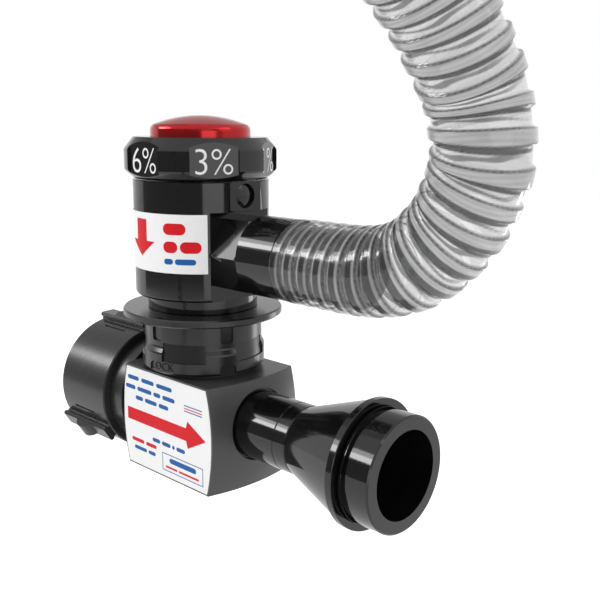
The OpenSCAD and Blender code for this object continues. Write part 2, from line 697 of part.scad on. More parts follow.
// Spindle: hub in the metering bore, pilot in the knob and a hollow shaft down to the disc
module metering_spindle() color(steel) difference() {
    rotate_extrude_at_head([[0, disc_low], [shaft_r, disc_low], [shaft_r, hub_low], [hub_r - 1, hub_low],
        [hub_r, hub_low + 1], [hub_r, hub_top], [pilot_r, hub_top], [pilot_r, well_z], [0, well_z]]);
    at_head() {
        rod_z(disc_low - over, well_z + over, stem_bore_r);
        rod_z(disc_low - over, annulus_top, annulus_r);
        translate([0, 0, annulus_top - 2.5]) rotate([90, 0, 0])
            cylinder(h = 3 * shaft_r, r = 2, center = true);
        translate([0, 0, detent_z]) o_ring(detent_at, detent_groove);
        band(hub_ring_z - groove_w / 2, hub_ring_z + groove_w / 2, hub_r - groove_d, hub_r + over);
        for (k = [0 : 2]) rotate([0, 0, 120 * k]) translate([screw_at, 0, 0])
            rod_z(hub_top - 9, hub_top + over, screw_r + fix_gap);
    }
}

// Metering disc with one orifice for each setting
module metering_disc() color(brass) at_head() difference() {
    rod_z(disc_low, disc_low + disc_t, disc_r);
    rod_z(disc_low - over, disc_low + disc_t + over, shaft_r + fix_gap);
    for (k = [0 : setting_count - 1]) rotate([0, 0, 90 + 360 * k / setting_count])
        translate([passage_at, 0, 0]) rod_z(disc_low - over, disc_low + disc_t + over, 3.8 * pow(0.78, k));
}

module spindle_o_ring() color(rubber) at_head() translate([0, 0, hub_ring_z])
    o_ring(hub_r - cord_r + run_gap / 2, cord_r);

module button_spring() {
    wire = 0.8;
    low = well_z + wire + 0.2;
    color(steel) at_head()
        rod_along(helix(14, 8, low, button_roof - wire - 0.2, 3, 60), wire, 6, [1, 0, 0]);
}

// Domed flush button with a hollow underside and a boss for its stem
module flush_button() {
    edge = 3.2;
    edge_turn = 70;
    rim = [for (k = [0 : 5]) let (a = edge_turn * k / 5)
           [button_r - edge * (1 - cos(a)), button_side - edge * (1 - sin(a))]];
    crown = [for (k = [1 : 8]) let (s = 1 - k / 8)
             [rim[5][0] * s, rim[5][1] + button_dome * (1 - s * s)]];
    color([0.72, 0.03, 0.06]) difference() {
        rotate_extrude_at_head(concat([[0, button_low], [5, button_low], [5, button_roof],
            [button_r - button_wall, button_roof], [button_r - button_wall, button_low],
            [button_r, button_low]], rim, crown));
        at_head() rod_z(button_low - over, button_roof + over, stem_pin_r + fix_gap);
    }
}

module button_stem() color(steel) at_head() rod_z(poppet_top - poppet_t + 1, button_roof + over, stem_pin_r);

// Poppet that closes the flush hole from below
module flush_poppet() color(rubber) at_head() difference() {
    rod_z(poppet_top - poppet_t, poppet_top, poppet_r);
    rod_z(poppet_top - poppet_t + 1, poppet_top + over, stem_pin_r + fix_gap);
}

eductor_body();
inlet_neck();
jet_nozzle();
nozzle_o_ring();
diffuser();
diffuser_o_ring();
body_label();
swivel_balls();
lock_keepers();
swivel_coupling();
inlet_gasket();
ball_plug();
lock_collar();
metering_head();
stem_o_rings();
ball_stop_pin();
head_label();
hose_nipple();
detent_plug();
detent_spring();
detent_ball();
pickup_hose();
pickup_wand();
metering_knob();
knob_screws();
metering_spindle();
metering_disc();
spindle_o_ring();
button_spring();
flush_button();
button_stem();
flush_poppet();
check_ball();
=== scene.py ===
"""Looks of the jet eductor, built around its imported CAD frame."""

import math

import bpy
import numpy as np
from mathutils import Matrix


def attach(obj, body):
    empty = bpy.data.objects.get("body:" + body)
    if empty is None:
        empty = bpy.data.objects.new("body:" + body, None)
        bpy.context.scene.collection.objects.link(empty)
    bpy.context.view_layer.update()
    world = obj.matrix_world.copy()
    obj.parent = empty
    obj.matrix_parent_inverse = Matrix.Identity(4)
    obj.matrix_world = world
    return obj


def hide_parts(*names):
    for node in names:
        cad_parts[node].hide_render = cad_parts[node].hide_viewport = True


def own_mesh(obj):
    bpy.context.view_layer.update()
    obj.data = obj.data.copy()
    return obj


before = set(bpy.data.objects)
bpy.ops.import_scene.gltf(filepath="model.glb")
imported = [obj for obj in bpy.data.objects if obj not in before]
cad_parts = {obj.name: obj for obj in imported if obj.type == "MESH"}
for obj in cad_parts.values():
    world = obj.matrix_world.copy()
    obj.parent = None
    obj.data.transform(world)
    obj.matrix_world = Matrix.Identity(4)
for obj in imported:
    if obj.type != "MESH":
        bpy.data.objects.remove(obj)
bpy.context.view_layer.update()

MM = 0.001
# Distance from the inlet mouth to the metering head axis, as in the CAD source
HEAD_X = 81.1
# Faces that the prints sit on, in mm, as in the CAD source
LABEL_FRONT = -27.75
LABEL_R = 32.7
KNOB_FLAT = 33.2
SKIRT_R = 30.1
INK = 0.05


def linear(hex_colour):
    """sRGB hex text as a linear RGBA colour."""
    srgb = np.array([int(hex_colour[i:i + 2], 16) for i in (1, 3, 5)]) / 255
    rgb = np.where(srgb <= 0.04045, srgb / 12.92, ((srgb + 0.055) / 1.055) ** 2.4)
    return (*[float(c) for c in rgb], 1.0)


def node(tree, kind, inputs=None, **settings):
    """Adds a node, sets its properties, and sets each input to a value or links it to an output socket."""
    made = tree.nodes.new(kind)
    for key, value in settings.items():
        setattr(made, key, value)
    for key, value in (inputs or {}).items():
        if isinstance(value, bpy.types.NodeSocket):
            tree.links.new(value, made.inputs[key])
        else:
            made.inputs[key].default_value = value
    return made


def material(name):
    """An empty node material: its tree, its output node and its own surface coordinates in metres."""
    made = bpy.data.materials.new(name)
    made.use_nodes = True
    made.node_tree.nodes.clear()
    tree = made.node_tree
    out = node(tree, "ShaderNodeOutputMaterial")
    place = node(tree, "ShaderNodeTexCoord").outputs["Object"]
    return made, tree, out, place


def per_mm(size):
    """Scale of a pattern on metre coordinates whose features are size mm wide."""
    return 1.0 / (size * MM)


def noise(tree, place, size, detail=2.0):
    """Noise with features size mm wide."""
    return node(tree, "ShaderNodeTexNoise", {"Vector": place, "Scale": per_mm(size), "Detail": detail}).outputs["Fac"]


def blend(tree, amount, first, second):
    """Colour that runs from the first hex colour to the second with an amount from 0 to 1."""
    made = node(tree, "ShaderNodeValToRGB", {"Fac": amount})
    made.color_ramp.elements[0].color = linear(first)
    made.color_ramp.elements[1].color = linear(second)
    return made.outputs["Color"]


def span(tree, amount, low, high):
    """Number that runs from low to high with an amount from 0 to 1."""
    return node(tree, "ShaderNodeMapRange", {"Value": amount, "To Min": low, "To Max": high}).outputs[0]


def relief(tree, height, strength, depth):
    """Bumps of depth mm from a height."""
    return node(tree, "ShaderNodeBump", {"Height": height, "Strength": strength, "Distance": depth * MM}).outputs[0]


def show(tree, out, shader):
    tree.links.new(shader.outputs[0], out.inputs["Surface"])


def seen_directly(tree, *kinds):
    """1 for a ray from the camera or of the kinds named, and 0 for any other."""
    path = node(tree, "ShaderNodeLightPath")
    seen = path.outputs["Is Camera Ray"]
    for kind in kinds:
        seen = node(tree, "ShaderNodeMath", {0: seen, 1: path.outputs[kind]}, operation="MAXIMUM").outputs[0]
    return seen


# Camera and light

PHOTO_PX = 600
FOCAL_PX = 849.106
SENSOR = 36.0
# Viewpoint and turn that were fitted to the photograph's edges, in the head's frame
EYE = (316.335, -265.707, 141.532)
AZIMUTH, PITCH, ROLL = (math.radians(a) for a in (43.322, 11.975, 0.497))


def place_camera():
    """Camera with its axes worked out from azimuth, pitch and roll, looking along -Z of its own frame."""
    ahead = np.array([-math.sin(AZIMUTH) * math.cos(PITCH), math.cos(AZIMUTH) * math.cos(PITCH), -math.sin(PITCH)])
    level = np.array([math.cos(AZIMUTH), math.sin(AZIMUTH), 0.0])
    above = np.cross(level, ahead)
    right = math.cos(ROLL) * level + math.sin(ROLL) * above
    up = -math.sin(ROLL) * level + math.cos(ROLL) * above
    turn = np.eye(4)
    turn[:3, 0], turn[:3, 1], turn[:3, 2] = right, up, -ahead
    turn[:3, 3] = (np.array(EYE) + [HEAD_X, 0, 0]) * MM
    data = bpy.data.cameras.new("photo_camera")
    data.sensor_width = SENSOR
    data.lens = FOCAL_PX / PHOTO_PX * SENSOR
    data.clip_start = 0.01
    camera = bpy.data.objects.new("photo_camera", data)
    camera.matrix_world = Matrix(turn.tolist())
    bpy.context.collection.objects.link(camera)
    bpy.context.scene.camera = camera


place_camera()

# Middle of the object in metres, from which the lamps are placed
MIDDLE = np.array([0.09, 0.0, 0.05])


def towards(azimuth, height):
    """Unit vector at an azimuth and a height over the horizon, both in degrees."""
    a, h = np.radians(azimuth), np.radians(height)
    return np.stack([np.cos(a) * np.cos(h), np.sin(a) * np.cos(h), np.sin(h) * np.ones_like(a)], -1)


def softbox(name, azimuth, height, distance, half_width, half_height, level, gloss=True):
    """Area lamp that faces the object, with its half sizes in degrees and its brightness against white paper."""
    data = bpy.data.lights.new(name, "AREA")
    data.shape = "RECTANGLE"
    data.size = 2 * distance * math.tan(math.radians(half_width))
    data.size_y = 2 * distance * math.tan(math.radians(half_height))
    data.energy = level * math.pi * data.size * data.size_y
    back = towards(azimuth, height)
    side = np.cross([0, 0, 1.0], back)
    side /= np.linalg.norm(side)
    turn = np.eye(4)
    turn[:3, 0], turn[:3, 1], turn[:3, 2] = side, np.cross(back, side), back
    turn[:3, 3] = MIDDLE + distance * back
    lamp = bpy.data.objects.new(name, data)
    lamp.matrix_world = Matrix(turn.tolist())
    lamp.visible_camera = False
    lamp.visible_glossy = gloss
    bpy.context.collection.objects.link(lamp)


# Each lamp: azimuth, height, distance, half width, half height, level
softbox("left_box", -138.5, 24.5, 5.0, 14.5, 4, 12)
softbox("left_box_top", -138.5, 31.75, 5.0, 14.5, 3.25, 5)
softbox("front_fill", -16, -2.5, 2.0, 22, 10, 0.95)
softbox("right_strip", 80, -14, 1.3, 9, 4, 3.2)
softbox("right_box", 14, 28, 1.5, 20, 12, 1.6)
softbox("overhead_box", -40, 75, 1.2, 12, 12, 5, gloss=False)
softbox("label_fill", -100, 25, 1.6, 14, 14, 0.6, gloss=False)


# Light of the world on the object, where white is 1
WORLD_LIGHT = 0.45


def white_world():
    """World that the camera, gloss and clear plastic see as white, and that lights the object softly."""
    world = bpy.data.worlds.new("white_studio")
    bpy.context.scene.world = world
    world.use_nodes = True
    tree = world.node_tree
    tree.nodes.clear()
    level = span(tree, seen_directly(tree, "Is Glossy Ray", "Is Transmission Ray"), WORLD_LIGHT, 1.0)
    sky = node(tree, "ShaderNodeBackground", {"Color": (1, 1, 1, 1), "Strength": level})
    out = node(tree, "ShaderNodeOutputWorld")
    tree.links.new(sky.outputs[0], out.inputs["Surface"])


white_world()
bpy.context.scene.view_settings.view_transform = "Standard"

# Pieces made of points


def quads(rows, cols, wrap):
    """Corner indices of the four-sided faces of a grid of points; wrap joins its last column to its first."""
    i, j = np.meshgrid(np.arange(rows - 1), np.arange(cols if wrap else cols - 1), indexing="ij")
    k = (j + 1) % cols
    return np.stack([i * cols + j, i * cols + k, (i + 1) * cols + k, (i + 1) * cols + j], -1).reshape(-1, 4)


def new_piece(name, points, faces, finish, smooth=True):
    """A mesh object at the origin from points in mm and faces, with one finish."""
    mesh = bpy.data.meshes.new(name)
    mesh.from_pydata((np.asarray(points, float) * MM).tolist(), [], np.asarray(faces).tolist())
    mesh.polygons.foreach_set("use_smooth", np.full(len(mesh.polygons), smooth))
    mesh.materials.append(finish)
    mesh.update()
    piece = bpy.data.objects.new(name, mesh)
    bpy.context.collection.objects.link(piece)
    return piece


def on_part(piece, body):
    """Hands a piece to the body that it moves with."""
    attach(piece, body)


# Finishes


def black_anodised(name, colour, rough, grit):
    """Hard-anodised aluminium, dyed black and sealed: deep black with clear reflections that a fine
    grit breaks up a little, and a tone that drifts slightly over the part."""
    made, tree, out, place = material(name)
    drift = noise(tree, place, 18)
    show(tree, out, node(tree, "ShaderNodeBsdfPrincipled", {
        "Base Color": blend(tree, drift, *colour), "Roughness": span(tree, drift, *rough),
        "Normal": relief(tree, noise(tree, place, grit, 3.0), 0.05, 0.02), "IOR": 1.5}))
    return made


def moulded_plastic(name, colour, rough, grain_mm, depth):
    """Moulded plastic or rubber: a soft sheen over a fine sparked grain from the mould."""
    made, tree, out, place = material(name)
    grain = noise(tree, place, grain_mm, 4.0)
    show(tree, out, node(tree, "ShaderNodeBsdfPrincipled", {
        "Base Color": blend(tree, grain, *colour), "Roughness": rough,
        "Normal": relief(tree, grain, 0.25, depth), "IOR": 1.49}))
    return made


def turned_metal(name, colour, rough):
    """Turned stainless steel or brass: bright metal with fine tool marks that stretch its highlights."""
    made, tree, out, place = material(name)
    marks = noise(tree, place, 0.6, 3.0)
    show(tree, out, node(tree, "ShaderNodeBsdfPrincipled", {
        "Base Color": linear(colour), "Metallic": 1.0, "Roughness": span(tree, marks, rough - 0.06, rough + 0.1),
        "Normal": relief(tree, marks, 0.1, 0.03)}))
    return made


def red_anodised():
    """Aluminium, polished and dyed red: a metallic red that deepens with the angle under a clear gloss."""
    made, tree, out, place = material("red_anodised_aluminium")
    show(tree, out, node(tree, "ShaderNodeBsdfPrincipled", {
        "Base Color": blend(tree, noise(tree, place, 9), "#a8141a", "#b81a20"), "Metallic": 0.75, "Roughness": 0.16,
        "Normal": relief(tree, noise(tree, place, 0.5), 0.05, 0.02), "Coat Weight": 0.15, "Coat Roughness": 0.08}))
    return made


def printed_film(name, colour, rough):
    """Vinyl label film or its ink: an even colour with a faint orange-peel gloss."""
    made, tree, out, place = material(name)
    peel = noise(tree, place, 1.5)
    show(tree, out, node(tree, "ShaderNodeBsdfPrincipled", {
        "Base Color": blend(tree, peel, *colour), "Roughness": rough, "Normal": relief(tree, peel, 0.05, 0.02),
        "Specular IOR Level": 0.2}))
    return made


# What the far wall of the hose loses of its milk, so that it stays fainter than the near one
FAR_WALL_LOSS = 0.75


def clear_pvc():
    """Clear flexible PVC with a moulded helix: the background shows through its walls, the flat rib tops
    are a milky grey, and painted shade draws dark lines along the edges of the ribs under a wet-looking gloss."""
    made, tree, out, place = material("clear_pvc_hose")
    milk_and_painted_light = node(tree, "ShaderNodeAttribute", attribute_name="milk_and_painted_light").outputs["Fac"]
    grey_and_painted_shade = node(tree, "ShaderNodeAttribute", attribute_name="grey_and_painted_shade").outputs["Fac"]
    ripple = relief(tree, noise(tree, place, 4, 3.0), 0.5, 0.2)
    # Base colour runs from the rib's milky grey to a near black, which is painted shade along the rib edges and painted
    # refraction in the valleys
    solid = node(tree, "ShaderNodeBsdfPrincipled", {
        "Base Color": blend(tree, grey_and_painted_shade, "#dedede", "#343536"), "Roughness": 0.25, "Normal": ripple,
        "Specular IOR Level": 0.1})
    clear = node(tree, "ShaderNodeBsdfTransparent", {"Color": linear("#ececec")})
    shine = node(tree, "ShaderNodeBsdfGlossy", {"Color": (1, 1, 1, 1), "Roughness": 0.07, "Normal": ripple})
    away = node(tree, "ShaderNodeFresnel", {"IOR": 1.46, "Normal": ripple}).outputs[0]
    behind = node(tree, "ShaderNodeNewGeometry").outputs["Backfacing"]
    fainter = node(tree, "ShaderNodeMath", {0: behind, 1: -FAR_WALL_LOSS, 2: 1.0}, operation="MULTIPLY_ADD").outputs[0]
    haze = node(tree, "ShaderNodeMath", {0: milk_and_painted_light, 1: fainter}, operation="MULTIPLY").outputs[0]
    wall = node(tree, "ShaderNodeMixShader", {0: haze, 1: clear.outputs[0], 2: solid.outputs[0]})
    gloss = node(tree, "ShaderNodeMath", {0: away, 1: behind}, operation="SUBTRACT", use_clamp=True)
    show(tree, out, node(tree, "ShaderNodeMixShader", {0: gloss.outputs[0], 1: wall.outputs[0], 2: shine.outputs[0]}))
    return made


def clear_bore():
    """Inner face of the clear hose: a thin haze that drifts and veils the ribs on the far side."""
    made, tree, out, place = material("clear_pvc_bore")
    drift = noise(tree, place, 6)
    show(tree, out, node(tree, "ShaderNodeBsdfPrincipled", {
        "Base Color": blend(tree, drift, "#e4e4e4", "#f4f4f4"), "Alpha": span(tree, drift, 0.0, 0.1),
        "Roughness": 0.6, "Specular IOR Level": 0.0}))
    return made


gloss_black = black_anodised("black_anodised_gloss", ("#0c0c0d", "#131314"), (0.06, 0.12), 0.4)
satin_black = black_anodised("black_anodised_satin", ("#373738", "#3f3f40"), (0.28, 0.36), 0.3)
coupling_black = black_anodised("black_anodised_half_gloss", ("#1f1f20", "#272728"), (0.24, 0.3), 0.3)
collar_black = moulded_plastic("black_nylon_moulded", ("#1d1d1e", "#252526"), 0.22, 0.5, 0.03)
wand_black = moulded_plastic("black_pvc_tube", ("#151516", "#1b1b1c"), 0.3, 0.8, 0.04)
seal_black = moulded_plastic("black_nitrile_rubber", ("#0a0a0a", "#101010"), 0.55, 0.4, 0.04)
bright_steel = turned_metal("turned_stainless_steel", "#c4c6c9", 0.25)
jet_brass = turned_metal("turned_brass", "#c9a25a", 0.25)
button_red = red_anodised()
label_white = printed_film("white_vinyl_film", ("#eeeeee", "#f3f3f3"), 0.5)
ink_red = printed_film("red_label_ink", ("#cf0f1c", "#da1420"), 0.5)
ink_blue = printed_film("blue_label_ink", ("#155a9e", "#1a62aa"), 0.5)
ink_white = printed_film("white_fill_paint", ("#e8e8e8", "#f2f2f2"), 0.45)
# Painted shade: dull near-black letters that stand in for the shade in recessed LOCK letters
letter_recess_shade = printed_film("painted_letter_shade", ("#070707", "#0b0b0b"), 0.7)
pvc_clear = clear_pvc()
pvc_bore = clear_bore()

FINISH = {
    gloss_black: ["diffuser", "ball_plug", "metering_head", "hose_nipple", "detent_plug", "metering_knob"],
    satin_black: ["eductor_body"],
    coupling_black: ["swivel_coupling", "inlet_neck"],
    collar_black: ["lock_collar"],
    wand_black: ["pickup_wand"],
    seal_black: ["nozzle_o_ring", "diffuser_o_ring", "inlet_gasket", "stem_o_rings", "spindle_o_ring",
                 "flush_poppet"],
    bright_steel: ["swivel_balls", "lock_keepers", "ball_stop_pin", "detent_spring", "detent_ball",
                   "knob_screws", "metering_spindle", "button_spring", "button_stem", "check_ball"],
    jet_brass: ["jet_nozzle", "metering_disc"],
    button_red: ["flush_button"],
    label_white: ["body_label", "head_label"],
}
for finish, names in FINISH.items():
    for name in names:
        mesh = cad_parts[name].data
        mesh.materials.clear()
        mesh.materials.append(finish)

# Label prints: each field is its stations across and its lower and upper edge there


def on_front(u, v, depth):
    """Front label: u along X and v along Z, in mm from the head axis and the flow axis."""
    return np.stack([HEAD_X + u, LABEL_FRONT - depth + 0 * u, v + 0 * u], -1)


def on_head(u, v, depth):
    """Head label: u is the angle about the head axis in degrees and v the height in mm."""
    a, r = np.radians(u), LABEL_R + depth
    return np.stack([HEAD_X + r * np.cos(a), r * np.sin(a), v + 0 * u], -1)


def bar(u0, u1, v, height, long=1.0):
    """Bar with round ends from u0 to u1 about v: half height r sin(t), end at r (1 - cos(t)); long is u per mm."""
    r = height / 2
    t = np.linspace(0.25, np.pi / 2, 5)
    end = long * r * (1 - np.cos(t))
    middle = np.linspace(u0 + end[-1], u1 - end[-1], 9)[1:-1]
    u = np.concatenate([u0 + end, middle, (u1 - end)[::-1]])
    half = np.concatenate([r * np.sin(t), np.full(len(middle), r), r * np.sin(t)[::-1]])
    return u, v - half, v + half


# Share of an arrow's size that its shoulder runs over and that its tip keeps
SLIVER = 0.02


def arrow_right(u0, neck, u1, v, shaft, head):
    """Arrow from u0 to its tip at u1: a shaft of one height, then a head that narrows to the tip."""
    u = np.array([u0, neck, neck + SLIVER * (u1 - u0), u1])
    half = np.array([shaft, shaft, head, SLIVER * head]) / 2
    return u, v - half, v + half


def arrow_down(u, top, neck, tip, shaft, head, long):
    """Arrow from top down to its tip: stations across it, under a shaft inside and the head's shoulders outside."""
    inside, outside = np.linspace(-shaft / 2, shaft / 2, 9), np.linspace(shaft / 2 + 0.02, head / 2, 6)
    across = np.concatenate([-outside[::-1], inside, outside])
    edge = np.where(np.abs(across) <= shaft / 2, top, neck + 0.05)
    return u + long * across, tip + (neck - tip) * np.abs(across) / (head / 2), edge


def frame_bars(u0, u1, v0, v1, line):
    """Four thin bars round a box."""
    across, along = np.array([u0, u1]), np.array([v0, v1])
    sides = [(np.array([u, u + line]), np.full(2, along[0]), np.full(2, along[1])) for u in (u0, u1 - line)]
    ends = [(across + [line, -line], np.full(2, v), np.full(2, v + line)) for v in (v0, v1 - line)]
    return sides + ends


def words(starts_and_ends, v, height, long=1.0):
    """Row of bars in the place of words."""
    return [bar(u0, u1, v, height, long) for u0, u1 in starts_and_ends]


def inked(name, fields, place, finish, body):
    """Thin closed slabs of ink: each field's edges at the label's face and at INK above it."""
    points, faces, count = [], [], 0
    for u, low, high in fields:
        ring = np.stack([place(u, low, 0), place(u, high, 0), place(u, high, INK), place(u, low, INK)], 1)
        n = len(u)
        points.append(ring.reshape(-1, 3))
        faces.append(np.concatenate([quads(n, 4, True), [[3, 2, 1, 0]], [[4 * n - 4, 4 * n - 3, 4 * n - 2, 4 * n - 1]]])
                     + count)
        count += 4 * n
    on_part(new_piece(name, np.concatenate(points), np.concatenate(faces), finish, smooth=False), body)


inked("body_label_red", [arrow_right(-27, 19, 33, -3.6, 6.4, 13.5), *words([(18, 31)], 9.2, 0.5),
                         *words([(-24, -14), (-12.5, -4)], -16.6, 1.9), *words([(3, 12), (13, 28)], -24.1, 1.0)],
      on_front, ink_red, "body")
inked("body_label_blue", [*words([(-26, -17), (-15, -5), (-3, 9)], 15.6, 2.1),
                          *words([(-28, -20), (-18.4, -7), (-5.4, 0), (1.6, 11)], 10.6, 2.1),
                          *words([(-20, -14), (-12.4, -3), (-1.4, 6)], 5.8, 2.1),
                          *words([(18, 31)], 10.6, 0.5), *words([(18, 31)], 7.9, 0.5),
                          *words([(-7, -1), (0.4, 7), (8.4, 10.2), (11.6, 18)], -12.9, 2.0),
                          *words([(-22, -12), (-10.6, -5)], -20.6, 1.9), *words([(6, 26)], -20.4, 2.6),
                          *frame_bars(0.5, 31, -26.4, -17.4, 0.4)], on_front, ink_blue, "body")
# Degrees of the head label per mm along it
TURN = math.degrees(1 / LABEL_R)
inked("head_label_red", [arrow_down(-98, 96.6, 86.6, 79.4, 8.4, 19, TURN), *words([(-72.5, -53)], 93.0, 5.2, TURN),
                         *words([(-72.5, -60), (-58, -40.5)], 84.8, 5.2, TURN)], on_head, ink_red, "head")
inked("head_label_blue", [*words([(-72, -64), (-62.4, -45)], 78.2, 2.6, TURN)], on_head, ink_blue, "head")

# Numbers and letters


# How much thinner the strokes are than the font's own, and the pieces that its curves are drawn with
STROKE_OFFSET = -0.012
CURVE_STEPS = 6


def lettering(name, text, height, width, place, finish, body, depth):
    """A plain word as a thin solid of a height and width in mm, laid on a surface by place(u, v, depth)."""
    curve = bpy.data.curves.new(name, "FONT")
    curve.body = text
    curve.extrude = 0.5
    curve.offset = STROKE_OFFSET
    curve.resolution_u = CURVE_STEPS
    maker = bpy.data.objects.new(name + "_text", curve)
    bpy.context.collection.objects.link(maker)
    bpy.context.view_layer.update()
    mesh = bpy.data.meshes.new_from_object(maker.evaluated_get(bpy.context.evaluated_depsgraph_get()))
    bpy.data.objects.remove(maker)
    points = np.empty(3 * len(mesh.vertices))
    mesh.vertices.foreach_get("co", points)
    points = points.reshape(-1, 3)
    low, high = points.min(0), points.max(0)
    u, v, d = ((points - (low + high) / 2) / (high - low) * [width, height, depth]).T
    mesh.vertices.foreach_set("co", (place(u, v, d + depth / 2) * MM).ravel())
    mesh.materials.clear()
    mesh.materials.append(finish)
    mesh.update()
    piece = bpy.data.objects.new(name, mesh)
    bpy.context.collection.objects.link(piece)
    on_part(piece, body)


def on_flat(angle, height):
    """Place on a flat of the knob at an angle about the head axis: u along the flat, v up from a height."""
    a = math.radians(angle)
    out, right = np.array([math.cos(a), math.sin(a), 0]), np.array([-math.sin(a), math.cos(a), 0])
    return lambda u, v, d: ([HEAD_X, 0, height] + np.outer(KNOB_FLAT + d, out) + np.outer(u, right)
                            + np.outer(v, [0, 0, 1]))


# Each setting of the dial: its text, the angle of its flat and its width; then their height, place and paint in mm
SETTINGS = [("6%", -90, 17), ("3%", -30, 17), ("1%", 30, 17), (".5%", 90, 19), (".25%", 150, 20.5), ("0", 210, 8)]
SETTING_TALL, SETTING_Z, SETTING_PAINT = 11.2, 123.1, 0.06
for text, angle, width in SETTINGS:
    lettering("setting_" + text.strip(".%"), text, SETTING_TALL, width, on_flat(angle, SETTING_Z), ink_white, "knob",
              SETTING_PAINT)


def on_skirt(angle, height):
    """Place on the foot of the lock collar's skirt: u along its circle, v up it from a height."""
    def place(u, v, d):
        a, r = math.radians(angle) + u / SKIRT_R, SKIRT_R + d
        return np.stack([HEAD_X + r * np.cos(a), r * np.sin(a), height + v], -1)
    return place


# The LOCK letters carry painted recess shade
lettering("lock_word", "LOCK", height=3.6, width=13.5, place=on_skirt(-81, 27.2), finish=letter_recess_shade, body="collar",
          depth=0.2)

# Swept pieces


def smooth_line(points):
    """Natural cubic spline through points over their chord length: fine points on it and their length along it."""
    p = np.asarray(points, float)
    t = np.concatenate([[0], np.cumsum(np.linalg.norm(np.diff(p, axis=0), axis=1))])
    h = np.diff(t)
    n = len(p)
    lhs = np.eye(n)
    rhs = np.zeros((n, 3))
    k = np.arange(1, n - 1)
    lhs[k, k - 1], lhs[k, k], lhs[k, k + 1] = h[:-1], 2 * (h[:-1] + h[1:]), h[1:]
    slope = np.diff(p, axis=0) / h[:, None]
    rhs[1:-1] = 6 * np.diff(slope, axis=0)
    bend = np.linalg.solve(lhs, rhs)
    fine = np.linspace(0, t[-1], 8 * int(t[-1]))
    i = np.clip(np.searchsorted(t, fine, side="right") - 1, 0, n - 2)
    a, b = ((t[i + 1] - fine) / h[i])[:, None], ((fine - t[i]) / h[i])[:, None]
    hh = (h[i] ** 2 / 6)[:, None]
    line = a * p[i] + b * p[i + 1] + hh * ((a ** 3 - a) * bend[i] + (b ** 3 - b) * bend[i + 1])
    return line, np.concatenate([[0], np.cumsum(np.linalg.norm(np.diff(line, axis=0), axis=1))])


def at_stations(line, s, stations):
    """Points of a line at lengths along it."""
    return np.stack([np.interp(stations, s, line[:, c]) for c in range(3)], -1)


def tube_points(line, radius, lean):
    """Rings around a line: centre + radius(s, angle) * (cos angle * side + sin angle * up), square to the line;
    side is the way that lean points, as seen along the line."""
    ahead = np.gradient(line, axis=0)
    ahead /= np.linalg.norm(ahead, axis=1, keepdims=True)
    side = lean - (ahead @ lean)[:, None] * ahead
    side /= np.linalg.norm(side, axis=1, keepdims=True)
    up = np.cross(ahead, side)
    angle = np.linspace(0, 2 * np.pi, radius.shape[1], endpoint=False)
    spoke = np.cos(angle)[None, :, None] * side[:, None] + np.sin(angle)[None, :, None] * up[:, None]
    return line[:, None] + radius[..., None] * spoke


# Spring under the flush button, as in the CAD source
SPRING_FOOT_R, SPRING_TOP_R = 14, 8
SPRING_LOW, SPRING_HIGH = 125.6, 135.0
SPRING_WIRE = 0.8
SPRING_TURNS = 3
SPRING_SIDES, SPRING_RINGS = 12, 181


def make_button_spring():
    """Cone spring under the button: a round wire along (r cos t, r sin t, z), r and z running evenly to its top."""
    share = np.linspace(0, 1, SPRING_RINGS)
    turn, r = 2 * np.pi * SPRING_TURNS * share, SPRING_FOOT_R + (SPRING_TOP_R - SPRING_FOOT_R) * share
    line = np.stack([HEAD_X + r * np.cos(turn), r * np.sin(turn), SPRING_LOW + (SPRING_HIGH - SPRING_LOW) * share], -1)
    wall = tube_points(line, np.full((SPRING_RINGS, SPRING_SIDES), SPRING_WIRE), np.array([0, 0, 1.0]))
    # Each end is closed by a fan of four-sided faces from its first point
    i = np.arange(SPRING_SIDES // 2 - 1)
    end = np.stack([0 * i, 2 * i + 1, 2 * i + 2, 2 * i + 3], -1)
    faces = [quads(SPRING_RINGS, SPRING_SIDES, True), end[:, ::-1], end + (SPRING_RINGS - 1) * SPRING_SIDES]
    spring = new_piece("press_spring", wall.reshape(-1, 3), np.concatenate(faces), bright_steel)
    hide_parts("button_spring")
    on_part(spring, "knob")
    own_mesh(spring)


make_button_spring()

# Pick-up hose

# Centre line of the hose, in mm from the head axis, as in the CAD source
HOSE_ROUTE = [
    (65, 0, 81.2), (79, 0, 81.2), (94, 0, 81.2), (107, 0, 82), (120, 0, 85), (130, 0, 90), (138, 0, 97),
    (145, 0, 105), (151, -1, 116), (155, -2, 127), (156, -4, 136), (155, -6, 147), (154, -9, 155),
    (153, -13, 161), (150, -23, 176), (146, -35, 190), (142, -50, 204), (137, -67, 216), (131, -85, 226),
    (125, -104, 232), (119, -123, 236), (113, -143, 237), (107, -163, 236), (101, -183, 232), (95, -202, 226),
    (90, -220, 216), (85, -237, 204), (81, -252, 190), (77, -265, 174), (73, -276, 157), (71, -285, 139),
    (69, -291, 119), (67, -295, 98), (67, -296, 77), (67, -296, 20), (67, -296, -65), (67, -296, -150),
    (67, -296, -261)]
HOSE_VALLEY = 17.1
HOSE_RIB = 1.65
HOSE_BORE = 15.75
# A direction that the hose never runs along
HOSE_LEAN = np.array([-0.7, 0.7, 0.14])
# Where the barbed tail of the nipple stretches the bore, by how much, and the length over which that ends
TAIL_LENGTH = 40
TAIL_STRETCH = 0.6
TAIL_EASE = 8
# Pitch of the helix at the nipple and what it gains, and a rib's half width as a share of it and what that loses
RIB_PITCH, PITCH_GAIN = 8.2, 2.2
RIB_SHARE, BEND_LOSS, FAR_LOSS = 0.34, 0.08, 0.05
# Lengths along the hose over which the pitch opens, the ribs narrow in and past the bend, and their painted shaded side
# shrinks
PITCH_OPENS, BEND_NARROWS, FAR_NARROWS, DARK_SHRINKS = (20, 95), (20, 70), (90, 150), (60, 115)
# Half the run of a rib's flank
FLANK_RUN = 0.4
# Where the helix starts around the hose, in turns, so that its first ribs fall as in the photograph
FIRST_TURN = -0.28
